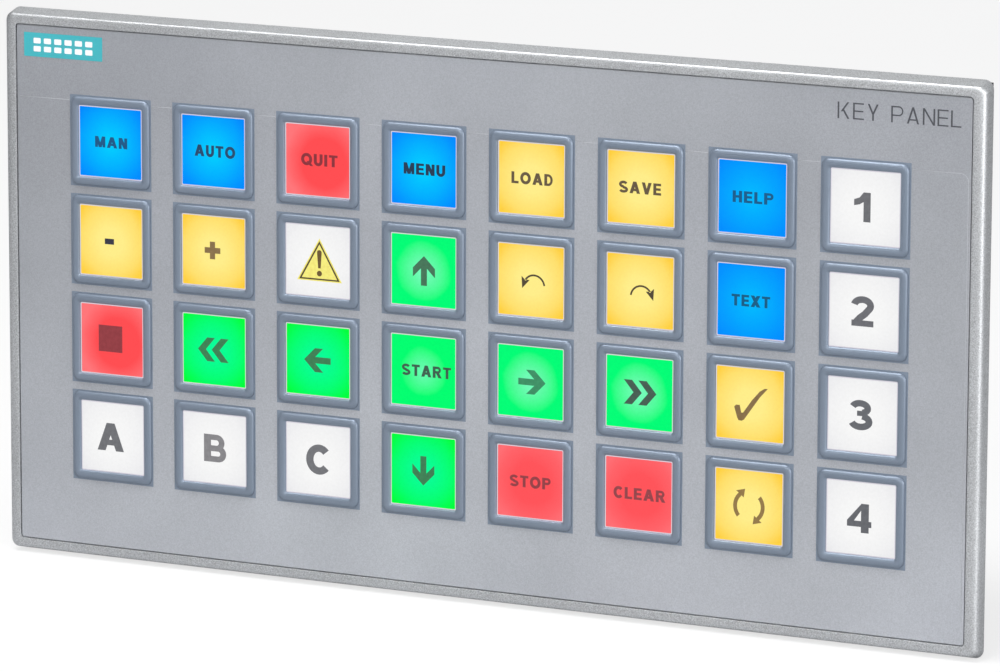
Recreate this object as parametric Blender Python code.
"""Illuminated 32-key short-stroke operator panel for a control cabinet door.

Frame of the object: origin at the centre of the cabinet cut-out, on the plane
where the seal meets the cabinet door. -Y is the operator's side, +X is to the
operator's right, +Z is up. Lengths are in metres.
"""
import bmesh
import bpy
from mathutils import Vector

MM = 0.001

# ---- driving dimensions -------------------------------------------------
FRAME_W, FRAME_H = 295.0 * MM, 155.0 * MM      # outside of the front frame
FRAME_FRONT_Y, FRAME_BACK_Y = -7.1 * MM, -1.8 * MM
FRAME_CORNER, FRAME_CROWN = 2.3 * MM, 0.9 * MM  # rounding of corners, front edge
FRAME_SLOPE = 1.2 * MM                         # upper and lower walls lean in by this
FOIL_W, FOIL_H = 287.0 * MM, 146.4 * MM        # printed foil let into the frame
FOIL_FRONT_Y, FOIL_BACK_Y = -6.8 * MM, -6.3 * MM
FOIL_FLOOR_Y = -6.0 * MM                       # floor of the foil's pocket
PLATE_BACK_Y = -4.6 * MM                       # rear face of the key plate
GAP = 0.3 * MM                                 # assembly gap between pieces

COLS, ROWS = 8, 4
PITCH_X, PITCH_Z = 32.5 * MM, 27.9 * MM        # key spacing
KEY_W, KEY_H = 25.0 * MM, 25.0 * MM            # outside of the raised key rim
WINDOW_W, WINDOW_H = 20.0 * MM, 20.0 * MM      # lit window inside the rim
KEY_FRONT_Y, KEY_BACK_Y = -7.7 * MM, -5.2 * MM
WINDOW_Y = -6.9 * MM                           # surface of the lit window
KEY_STROKE = 0.5 * MM                          # short stroke, along +Y
LEG_W, LEG_T, LEG_END_Y = 12.0 * MM, 1.0 * MM, 4.4 * MM
LEG_Z = 11.9 * MM                              # legs pass above and below the strip

STRIP_H = 22.0 * MM                            # slide-in label strips
STRIP_FRONT_Y, STRIP_BACK_Y = -4.3 * MM, -4.0 * MM

GRID_W, GRID_H = 268.0 * MM, 118.0 * MM        # light grid behind the keys
GRID_FRONT_Y, GRID_BACK_Y = -3.7 * MM, 4.7 * MM
CELL_W, CELL_H = 26.0 * MM, 25.8 * MM

MAT_FRONT_Y, MAT_BACK_Y = 5.2 * MM, 6.0 * MM   # silicone switch mat
BOARD_FRONT_Y, BOARD_BACK_Y = 6.3 * MM, 7.9 * MM

SEAL_W, SEAL_H = 293.0 * MM, 153.0 * MM
SEAL_IN_W, SEAL_IN_H = 283.0 * MM, 145.6 * MM
SEAL_FRONT_Y, SEAL_BACK_Y = -1.5 * MM, 0.0

TRAY_W, TRAY_H = 279.0 * MM, 141.0 * MM        # part that passes the cut-out
TRAY_FRONT_Y, TRAY_BACK_Y = -1.5 * MM, 12.0 * MM
BOX_W, BOX_H = 240.0 * MM, 120.0 * MM          # electronics box behind the tray
BOX_BACK_Y = 38.0 * MM
WALL = 2.0 * MM
COVER_BACK_Y = 40.3 * MM

MAIN_FRONT_Y, MAIN_BACK_Y = 20.0 * MM, 21.6 * MM
MAIN_W, MAIN_H = 228.0 * MM, 98.0 * MM


def clear_scene():
    for obj in list(bpy.data.objects):
        bpy.data.objects.remove(obj, do_unlink=True)


clear_scene()
parts = bpy.data.collections.new("key_panel")
bpy.context.scene.collection.children.link(parts)
cutters = bpy.data.collections.new("cutters")
bpy.context.scene.collection.children.link(cutters)


# ---- materials ------------------------------------------------------------
def material(name, rgb, roughness, metallic=0.0, glow=None):
    mat = bpy.data.materials.new(name)
    mat.use_nodes = True
    shader = mat.node_tree.nodes["Principled BSDF"]
    shader.inputs["Base Color"].default_value = (*rgb, 1.0)
    shader.inputs["Roughness"].default_value = roughness
    shader.inputs["Metallic"].default_value = metallic
    if glow:
        shader.inputs["Emission Color"].default_value = (*glow, 1.0)
        shader.inputs["Emission Strength"].default_value = 1.0
    mat.diffuse_color = (*rgb, 1.0)
    return mat


SILVER_PAINT = material("silver_paint", (0.42, 0.43, 0.44), 0.45, 0.3)
FOIL_PRINT = material("foil_print", (0.40, 0.41, 0.43), 0.5)
GRID_WHITE = material("white_plastic", (0.8, 0.8, 0.78), 0.5)
SILICONE = material("silicone", (0.55, 0.56, 0.55), 0.7)
BOARD_GREEN = material("circuit_board", (0.02, 0.16, 0.07), 0.45)
SEAL_BLACK = material("seal_rubber", (0.02, 0.02, 0.02), 0.85)
HOUSING_GREY = material("housing_metal", (0.55, 0.56, 0.57), 0.4, 0.9)
FILM = material("label_film", (0.85, 0.85, 0.82), 0.5)
STEEL = material("screw_steel", (0.6, 0.6, 0.6), 0.3, 1.0)
BLACK_PLASTIC = material("black_plastic", (0.02, 0.02, 0.022), 0.5)
GREEN_PLASTIC = material("terminal_green", (0.03, 0.28, 0.12), 0.5)
PLATE_SILVER = material("rating_film", (0.7, 0.7, 0.7), 0.4)
KEY_BLUE = material("key_lit_blue", (0.0, 0.5, 1.0), 0.4, glow=(0.0, 0.5, 1.0))
KEY_RED = material("key_lit_red", (1.0, 0.09, 0.1), 0.4, glow=(1.0, 0.09, 0.1))
KEY_YELLOW = material("key_lit_yellow", (1.0, 0.78, 0.2), 0.4, glow=(1.0, 0.78, 0.2))
KEY_GREEN = material("key_lit_green", (0.05, 0.95, 0.3), 0.4, glow=(0.05, 0.95, 0.3))
KEY_WHITE = material("key_lit_white", (0.9, 0.9, 0.9), 0.4, glow=(0.9, 0.9, 0.9))


# ---- modelling helpers ----------------------------------------------------
def add_box(bm, x0, x1, y0, y1, z0, z1):
    """A box between two corners, added to a bmesh."""
    made = bmesh.ops.create_cube(bm, size=1.0)
    bmesh.ops.scale(bm, vec=(x1 - x0, y1 - y0, z1 - z0), verts=made["verts"])
    middle = ((x0 + x1) / 2, (y0 + y1) / 2, (z0 + z1) / 2)
    bmesh.ops.translate(bm, vec=middle, verts=made["verts"])
    return made["verts"]


def add_rod(bm, centre, radius, y0, y1, sides=16, radius_back=None):
    """A round rod along Y, from y0 to y1, added to a bmesh."""
    made = bmesh.ops.create_cone(
        bm, cap_ends=True, segments=sides, radius1=radius,
        radius2=radius if radius_back is None else radius_back, depth=y1 - y0,
    )
    # create_cone stands along Z: turn it so that its first end faces -Y
    for v in made["verts"]:
        v.co = Vector((v.co.x + centre[0], v.co.z + (y0 + y1) / 2, -v.co.y + centre[1]))
    return made["verts"]


def to_object(bm, name, mat=None, cutter=False):
    bmesh.ops.recalc_face_normals(bm, faces=bm.faces)
    mesh = bpy.data.meshes.new(name)
    bm.to_mesh(mesh)
    bm.free()
    obj = bpy.data.objects.new(name, mesh)
    if cutter:
        cutters.objects.link(obj)
        obj.hide_render = True
        obj.display_type = "WIRE"
    else:
        parts.objects.link(obj)
        mesh.materials.append(mat)
    return obj


def box_object(name, mat, *corners, cutter=False):
    bm = bmesh.new()
    add_box(bm, *corners)
    return to_object(bm, name, mat, cutter)


def boxes_cutter(name, boxes):
    bm = bmesh.new()
    for corners in boxes:
        add_box(bm, *corners)
    return to_object(bm, name, cutter=True)


def boolean(obj, other, operation="DIFFERENCE"):
    mod = obj.modifiers.new(operation.lower() + "_" + other.name, "BOOLEAN")
    mod.operation = operation
    mod.solver = "EXACT"
    mod.object = other
    return mod


def around(w, h):
    """Corners of a centred rectangle in X and Z."""
    return -w / 2, w / 2, -h / 2, h / 2


def slab(name, mat, w, h, y0, y1, cutter=False):
    x0, x1, z0, z1 = around(w, h)
    return box_object(name, mat, x0, x1, y0, y1, z0, z1, cutter=cutter)


def key_centres():
    for row in range(ROWS):
        for col in range(COLS):
            yield row, col, (col - (COLS - 1) / 2) * PITCH_X, ((ROWS - 1) / 2 - row) * PITCH_Z


def per_key_boxes(w, h, y0, y1):
    return [
        (x - w / 2, x + w / 2, y0, y1, z - h / 2, z + h / 2)
        for _, _, x, z in key_centres()
    ]


# ---- front frame: cast aluminium, with the key plate ----------------------
def make_front_frame():
    bm = bmesh.new()
    x0, x1, z0, z1 = around(FRAME_W, FRAME_H)
    add_box(bm, x0, x1, FRAME_FRONT_Y, FRAME_BACK_Y, z0, z1)
    for v in bm.verts:
        if v.co.y < (FRAME_FRONT_Y + FRAME_BACK_Y) / 2:
            v.co.z -= FRAME_SLOPE if v.co.z > 0 else -FRAME_SLOPE
    corners = [e for e in bm.edges if abs(e.verts[0].co.y - e.verts[1].co.y) > MM]
    bmesh.ops.bevel(bm, geom=corners, offset=FRAME_CORNER, segments=3, profile=0.5,
                    affect="EDGES")
    front = [e for e in bm.edges
             if all(abs(v.co.y - FRAME_FRONT_Y) < 0.01 * MM for v in e.verts)]
    bmesh.ops.bevel(bm, geom=front, offset=FRAME_CROWN, segments=2, profile=0.5,
                    affect="EDGES")
    frame = to_object(bm, "front_frame", SILVER_PAINT)
    pocket = slab("foil_pocket", None, FOIL_W + 2 * GAP, FOIL_H + 2 * GAP,
                  FRAME_FRONT_Y - MM, FOIL_FLOOR_Y, cutter=True)
    boolean(frame, pocket)
    rear = slab("frame_rear_pocket", None, GRID_W + 4 * MM, GRID_H + 4 * MM,
                PLATE_BACK_Y, FRAME_BACK_Y + MM, cutter=True)
    boolean(frame, rear)
    holes = boxes_cutter("key_openings", per_key_boxes(
        KEY_W + 2 * GAP, KEY_H + 2 * GAP, FRAME_FRONT_Y, PLATE_BACK_Y + MM))
    boolean(frame, holes)
    return frame


def make_front_foil():
    foil = slab("front_foil", FOIL_PRINT, FOIL_W, FOIL_H, FOIL_FRONT_Y, FOIL_BACK_Y)
    holes = boxes_cutter("foil_openings", per_key_boxes(
        KEY_W + 2 * GAP, KEY_H + 2 * GAP, FOIL_FRONT_Y - MM, FOIL_BACK_Y + MM))
    boolean(foil, holes)
    return foil


# ---- keys: rim, window and two legs, one shape for all ---------------------
def key_mesh():
    bm = bmesh.new()
    add_box(bm, -KEY_W / 2, KEY_W / 2, KEY_FRONT_Y, KEY_BACK_Y, -KEY_H / 2, KEY_H / 2)
    corners = [e for e in bm.edges if abs(e.verts[0].co.y - e.verts[1].co.y) > MM]
    bmesh.ops.bevel(bm, geom=corners, offset=1.6 * MM, segments=1, affect="EDGES")
    front = [e for e in bm.edges
             if all(abs(v.co.y - KEY_FRONT_Y) < 0.01 * MM for v in e.verts)]
    bmesh.ops.bevel(bm, geom=front, offset=0.6 * MM, segments=1, affect="EDGES")
    blank = to_object(bm, "key_blank", KEY_WHITE)
    window = box_object("key_window_recess", None, -WINDOW_W / 2, WINDOW_W / 2,
                        KEY_FRONT_Y - MM, WINDOW_Y, -WINDOW_H / 2, WINDOW_H / 2, cutter=True)
    boolean(blank, window)
    legs = boxes_cutter("key_legs", [
        (-LEG_W / 2, LEG_W / 2, KEY_BACK_Y - 0.6 * MM, LEG_END_Y,
         side * LEG_Z - LEG_T / 2, side * LEG_Z + LEG_T / 2)
        for side in (-1, 1)])
    boolean(blank, legs, "UNION")
    graph = bpy.context.evaluated_depsgraph_get()
    bpy.context.view_layer.update()
    mesh = bpy.data.meshes.new_from_object(blank.evaluated_get(graph))
    mesh.name = "key_shape"
    bpy.data.objects.remove(blank, do_unlink=True)
    return mesh


KEY_COLOURS = (
    "BBRBYYBW",
    "YYYGYYBW",
    "RGGGGGYW",
    "WWWGRRYW",
)
LIT = {"B": KEY_BLUE, "R": KEY_RED, "Y": KEY_YELLOW, "G": KEY_GREEN, "W": KEY_WHITE}


def make_keys():
    shape = key_mesh()
    for row, col, x, z in key_centres():
        key = bpy.data.objects.new(f"key_row{row + 1}_col{col + 1}", shape)
        parts.objects.link(key)
        key.location = (x, 0.0, z)          # the origin lies on the key's slide axis
        key.material_slots[0].link = "OBJECT"
        key.material_slots[0].material = LIT[KEY_COLOURS[row][col]]


# ---- behind the keys --------------------------------------------------------
def make_label_strips():
    for row in range(ROWS):
        z = ((ROWS - 1) / 2 - row) * PITCH_Z
        box_object(f"label_strip_row{row + 1}", FILM, -131 * MM, 131 * MM,
                   STRIP_FRONT_Y, STRIP_BACK_Y, z - STRIP_H / 2, z + STRIP_H / 2)


def make_light_grid():
    grid = slab("light_grid", GRID_WHITE, GRID_W, GRID_H, GRID_FRONT_Y, GRID_BACK_Y)
    cells = boxes_cutter("grid_cells", per_key_boxes(
        CELL_W, CELL_H, GRID_FRONT_Y - MM, GRID_BACK_Y + MM))
    boolean(grid, cells)
    return grid


def make_switch_mat():
    mat = slab("switch_mat", SILICONE, GRID_W - 2 * MM, GRID_H - 2 * MM,
               MAT_FRONT_Y, MAT_BACK_Y)
    holes = boxes_cutter("mat_light_holes", per_key_boxes(
        14 * MM, 14 * MM, MAT_FRONT_Y - MM, MAT_BACK_Y + MM))
    boolean(mat, holes)
    return mat


def make_keypad_board():
    board = slab("keypad_board", BOARD_GREEN, 270 * MM, 122 * MM,
                 BOARD_FRONT_Y, BOARD_BACK_Y)
    leds = boxes_cutter("board_leds", per_key_boxes(
        4 * MM, 4 * MM, BOARD_FRONT_Y - 1.2 * MM, BOARD_FRONT_Y + 0.4 * MM))
    boolean(board, leds, "UNION")
    return board


# ---- housing ----------------------------------------------------------------
PORT_Z0, PORT_Z1 = -60.6 * MM, -42.0 * MM       # connectors face down through the wall
PORT_Y0 = MAIN_BACK_Y + GAP
# name: (centre x, width, depth in Y)
PORTS = {
    "ethernet_jack_1": (65 * MM, 16 * MM, 13.5 * MM),
    "ethernet_jack_2": (81.6 * MM, 16 * MM, 13.5 * MM),
    "power_connector": (-88 * MM, 22 * MM, 11.0 * MM),
    "io_connector_1": (-43 * MM, 44 * MM, 11.0 * MM),
    "io_connector_2": (7 * MM, 44 * MM, 11.0 * MM),
    "dip_switch": (40 * MM, 12 * MM, 7.0 * MM),
}
SCREW_X, SCREW_Z = 113.5 * MM, 53.5 * MM
GROUND_X, GROUND_Z = -129.5 * MM, -40.0 * MM
LUG_X = 10 * MM


PLATE_X0, PLATE_X1, PLATE_Y0 = -104.0 * MM, 97.0 * MM, 17.3 * MM


def make_port_plate():
    """Plate let into the lower wall, with one opening for each connector and
    a shared one for the two network jacks."""
    plate = box_object("port_plate", HOUSING_GREY, PLATE_X0, PLATE_X1, PLATE_Y0, BOX_BACK_Y,
                       -BOX_H / 2, -BOX_H / 2 + WALL)
    cuts = []
    for name, (x, w, d) in PORTS.items():
        if not name.startswith("ethernet"):
            cuts.append((x - w / 2, x + w / 2, d))
    (xa, wa, d), (xb, wb, _) = PORTS["ethernet_jack_1"], PORTS["ethernet_jack_2"]
    cuts.append((xa - wa / 2, xb + wb / 2, d))
    boolean(plate, boxes_cutter("plate_openings", [
        (a - 0.4 * MM, b + 0.4 * MM, PORT_Y0 - 0.4 * MM, PORT_Y0 + d + 0.4 * MM,
         -BOX_H / 2 - MM, -BOX_H / 2 + WALL + MM) for a, b, d in cuts]))
    return plate


def make_rear_housing():
    """Tray behind the frame and the box behind it, one bent and welded shell."""
    bm = bmesh.new()
    x0, x1, z0, z1 = around(TRAY_W, TRAY_H)
    add_box(bm, x0, x1, TRAY_FRONT_Y, TRAY_BACK_Y, z0, z1)
    edges = [e for e in bm.edges if abs(e.verts[0].co.y - e.verts[1].co.y) > MM]
    bmesh.ops.bevel(bm, geom=edges, offset=2.0 * MM, segments=2, profile=0.5, affect="EDGES")
    housing = to_object(bm, "rear_housing", HOUSING_GREY)
    bm = bmesh.new()
    x0, x1, z0, z1 = around(BOX_W, BOX_H)
    add_box(bm, x0, x1, TRAY_BACK_Y - MM, BOX_BACK_Y, z0, z1)
    edges = [e for e in bm.edges if abs(e.verts[0].co.y - e.verts[1].co.y) > MM]
    bmesh.ops.bevel(bm, geom=edges, offset=2.0 * MM, segments=2, profile=0.5, affect="EDGES")
    box = to_object(bm, "housing_box", cutter=True)
    boolean(housing, box, "UNION")
    inside = boxes_cutter("housing_tray_inside", [
        (-TRAY_W / 2 + WALL, TRAY_W / 2 - WALL, TRAY_FRONT_Y - MM, TRAY_BACK_Y - WALL,
         -TRAY_H / 2 + WALL, TRAY_H / 2 - WALL)])
    boolean(housing, inside)
    through = boxes_cutter("housing_box_inside", [
        (-BOX_W / 2 + WALL, BOX_W / 2 - WALL, TRAY_BACK_Y - WALL - MM, BOX_BACK_Y + MM,
         -BOX_H / 2 + WALL, BOX_H / 2 - WALL)])
    boolean(housing, through)
    # corner posts for the cover screws, pads that hold the keypad board, and
    # two rails that carry the main board
    inner_x, inner_z = BOX_W / 2 - WALL, BOX_H / 2 - WALL
    posts = []
    for sx in (-1, 1):
        for sz in (-1, 1):
            xs = sorted((sx * (inner_x - 9 * MM), sx * (inner_x + 0.5 * MM)))
            zs = sorted((sz * (inner_z - 9 * MM), sz * (inner_z + 0.5 * MM)))
            posts.append((*xs, 16 * MM, BOX_BACK_Y, *zs))
            xs = sorted((sx * 124 * MM, sx * 131 * MM))
            zs = sorted((sz * 52 * MM, sz * 60 * MM))
            posts.append((*xs, BOARD_BACK_Y + GAP, TRAY_BACK_Y - 0.5 * MM, *zs))
    for sx in (-1, 1):
        xs = sorted((sx * (inner_x - 6 * MM), sx * (inner_x + 0.5 * MM)))
        posts.append((*xs, 16.5 * MM, MAIN_FRONT_Y - GAP, -40 * MM, 40 * MM))
    boolean(housing, boxes_cutter("housing_posts", posts), "UNION")
    bm = bmesh.new()
    for sx in (-1, 1):
        for sz in (-1, 1):
            add_rod(bm, (sx * SCREW_X, sz * SCREW_Z), 1.8 * MM, 26 * MM, BOX_BACK_Y + MM, 12)
    add_rod(bm, (GROUND_X, GROUND_Z), 2.8 * MM, TRAY_BACK_Y - WALL - MM, TRAY_BACK_Y + MM, 16)
    boolean(housing, to_object(bm, "housing_screw_holes", cutter=True))
    # the lower wall is open to the rear for the port plate, and the upper one
    # has ventilation slots
    openings = [(PLATE_X0 - GAP, PLATE_X1 + GAP, PLATE_Y0 - GAP, BOX_BACK_Y + MM,
                 -BOX_H / 2 - MM, -BOX_H / 2 + WALL + MM)]
    for i in range(16):
        x = (i - 7.5) * 12.5 * MM
        openings.append((x - 1.6 * MM, x + 1.6 * MM, 17 * MM, 34 * MM,
                         BOX_H / 2 - WALL - MM, BOX_H / 2 + MM))
    boolean(housing, boxes_cutter("housing_openings", openings))
    return housing


def make_rear_cover():
    bm = bmesh.new()
    x0, x1, z0, z1 = around(BOX_W, BOX_H)
    add_box(bm, x0, x1, BOX_BACK_Y + GAP, COVER_BACK_Y, z0, z1)
    edges = [e for e in bm.edges if abs(e.verts[0].co.y - e.verts[1].co.y) > MM]
    bmesh.ops.bevel(bm, geom=edges, offset=2.0 * MM, segments=2, profile=0.5, affect="EDGES")
    cover = to_object(bm, "rear_cover", HOUSING_GREY)
    bm = bmesh.new()
    for sx in (-1, 1):
        for sz in (-1, 1):
            add_rod(bm, (sx * SCREW_X, sz * SCREW_Z), 1.8 * MM, BOX_BACK_Y - MM,
                    COVER_BACK_Y + MM, 12)
    boolean(cover, to_object(bm, "cover_screw_holes", cutter=True))
    slots = []
    for i in range(10):
        for x in (-62 * MM, 62 * MM):
            z = (i - 4.5) * 7.0 * MM
            slots.append((x - 24 * MM, x + 24 * MM, BOX_BACK_Y - MM, COVER_BACK_Y + MM,
                          z - 1.5 * MM, z + 1.5 * MM))
    boolean(cover, boxes_cutter("cover_slots", slots))
    return cover


def make_screw(name, x, z, y_seat, head_r, head_h, shank_r, shank_end):
    """Pan-head screw whose head sits just behind y_seat, with a cross recess."""
    bm = bmesh.new()
    add_rod(bm, (x, z), head_r, y_seat + GAP, y_seat + GAP + head_h, 16,
            radius_back=head_r * 0.82)
    screw = to_object(bm, name, STEEL)
    bm = bmesh.new()
    add_rod(bm, (x, z), shank_r, shank_end, y_seat + GAP + 0.5 * head_h, 12)
    boolean(screw, to_object(bm, name + "_shank", cutter=True), "UNION")
    back = y_seat + GAP + head_h
    arm, half = head_r * 0.62, head_r * 0.13
    cross = boxes_cutter(name + "_cross_a", [
        (x - arm, x + arm, back - 0.45 * head_h, back + MM, z - half, z + half)])
    boolean(screw, cross)
    cross = boxes_cutter(name + "_cross_b", [
        (x - half, x + half, back - 0.45 * head_h, back + MM, z - arm, z + arm)])
    boolean(screw, cross)
    return screw


def make_main_board():
    board = slab("main_board", BOARD_GREEN, MAIN_W, MAIN_H, MAIN_FRONT_Y, MAIN_BACK_Y)
    bits = [
        (-70 * MM, -58 * MM, MAIN_BACK_Y - 0.4 * MM, 30 * MM, 10 * MM, 22 * MM),
        (-50 * MM, -38 * MM, MAIN_BACK_Y - 0.4 * MM, 30 * MM, 10 * MM, 22 * MM),
        (50 * MM, 66 * MM, MAIN_BACK_Y - 0.4 * MM, 26 * MM, -6 * MM, 12 * MM),
        (74 * MM, 92 * MM, MAIN_BACK_Y - 0.4 * MM, 29 * MM, 14 * MM, 26 * MM),
        (-12 * MM, 12 * MM, MAIN_BACK_Y - 0.4 * MM, MAIN_BACK_Y + 3 * MM, -8 * MM, 16 * MM),
    ]
    boolean(board, boxes_cutter("board_components", bits), "UNION")
    return board


def port(name, mat, cavities):
    """A connector body with square-cut cavities that open downwards."""
    x, w, d = PORTS[name]
    body = box_object(name, mat, x - w / 2, x + w / 2, PORT_Y0, PORT_Y0 + d,
                      PORT_Z0, PORT_Z1)
    boolean(body, boxes_cutter(name + "_cavities", cavities))
    return body


def make_ports():
    for name in ("ethernet_jack_1", "ethernet_jack_2"):
        x, w, d = PORTS[name]
        port(name, STEEL, [
            (x - 5.9 * MM, x + 5.9 * MM, PORT_Y0 + 2.6 * MM, PORT_Y0 + 10.4 * MM,
             PORT_Z0 - MM, PORT_Z0 + 13 * MM)])
    for name, ways, pitch in (("power_connector", 4, 5.0 * MM),
                              ("io_connector_1", 12, 3.5 * MM),
                              ("io_connector_2", 12, 3.5 * MM)):
        x, w, d = PORTS[name]
        half = 0.34 * pitch
        holes = []
        for i in range(ways):
            cx = x + (i - (ways - 1) / 2) * pitch
            holes.append((cx - half, cx + half, PORT_Y0 + 2.5 * MM, PORT_Y0 + 5.2 * MM,
                          PORT_Z0 - MM, PORT_Z0 + 7 * MM))
        port(name, GREEN_PLASTIC if ways > 4 else BLACK_PLASTIC, holes)
    x, w, d = PORTS["dip_switch"]
    levers = [(x + (i - 1.5) * 2.6 * MM - 0.7 * MM, x + (i - 1.5) * 2.6 * MM + 0.7 * MM,
               PORT_Y0 + 2.0 * MM, PORT_Y0 + 5.0 * MM, PORT_Z0 - MM, PORT_Z0 + 1.0 * MM)
              for i in range(4)]
    port("dip_switch", BLACK_PLASTIC, levers)


def make_lug():
    """Angle under the box, with two slots for cable ties."""
    lug = box_object("cable_tie_lug", STEEL, LUG_X - 30 * MM, LUG_X + 30 * MM,
                     TRAY_BACK_Y + GAP, TRAY_BACK_Y + GAP + 1.5 * MM, -69 * MM, -62.5 * MM)
    tongue = box_object("lug_tongue", None, LUG_X - 30 * MM, LUG_X + 30 * MM,
                        TRAY_BACK_Y + GAP + 0.7 * MM, 20 * MM, -69 * MM, -67.5 * MM,
                        cutter=True)
    boolean(lug, tongue, "UNION")
    slots = [(LUG_X + s * 8 * MM - 2.5 * MM, LUG_X + s * 8 * MM + 2.5 * MM,
              15.5 * MM, 17.7 * MM, -71 * MM, -66 * MM) for s in (-3, -1, 1, 3)]
    boolean(lug, boxes_cutter("lug_slots", slots))
    return lug


def make_seal():
    seal = slab("mounting_seal", SEAL_BLACK, SEAL_W, SEAL_H, SEAL_FRONT_Y, SEAL_BACK_Y)
    hole = slab("seal_opening", None, SEAL_IN_W, SEAL_IN_H, SEAL_FRONT_Y - MM,
                SEAL_BACK_Y + MM, cutter=True)
    boolean(seal, hole)
    return seal


make_front_frame()
make_front_foil()
make_keys()
make_label_strips()
make_light_grid()
make_switch_mat()
make_keypad_board()
make_seal()
make_rear_housing()
make_port_plate()
make_rear_cover()
make_main_board()
make_ports()
make_lug()
box_object("board_link", BLACK_PLASTIC, -20 * MM, 20 * MM, BOARD_BACK_Y + GAP,
           MAIN_FRONT_Y - GAP, 30 * MM, 36 * MM)
box_object("rating_plate", PLATE_SILVER, -26 * MM, 26 * MM, COVER_BACK_Y + GAP,
           COVER_BACK_Y + GAP + 0.4 * MM, 38.5 * MM, 54.5 * MM)
for number, (sx, sz) in enumerate(((-1, 1), (1, 1), (-1, -1), (1, -1)), start=1):
    make_screw(f"cover_screw_{number}", sx * SCREW_X, sz * SCREW_Z, COVER_BACK_Y,
               3.0 * MM, 2.0 * MM, 1.5 * MM, 27 * MM)
make_screw("ground_screw", GROUND_X, GROUND_Z, TRAY_BACK_Y, 4.6 * MM, 3.2 * MM,
           2.5 * MM, BOARD_BACK_Y + 0.8 * MM)
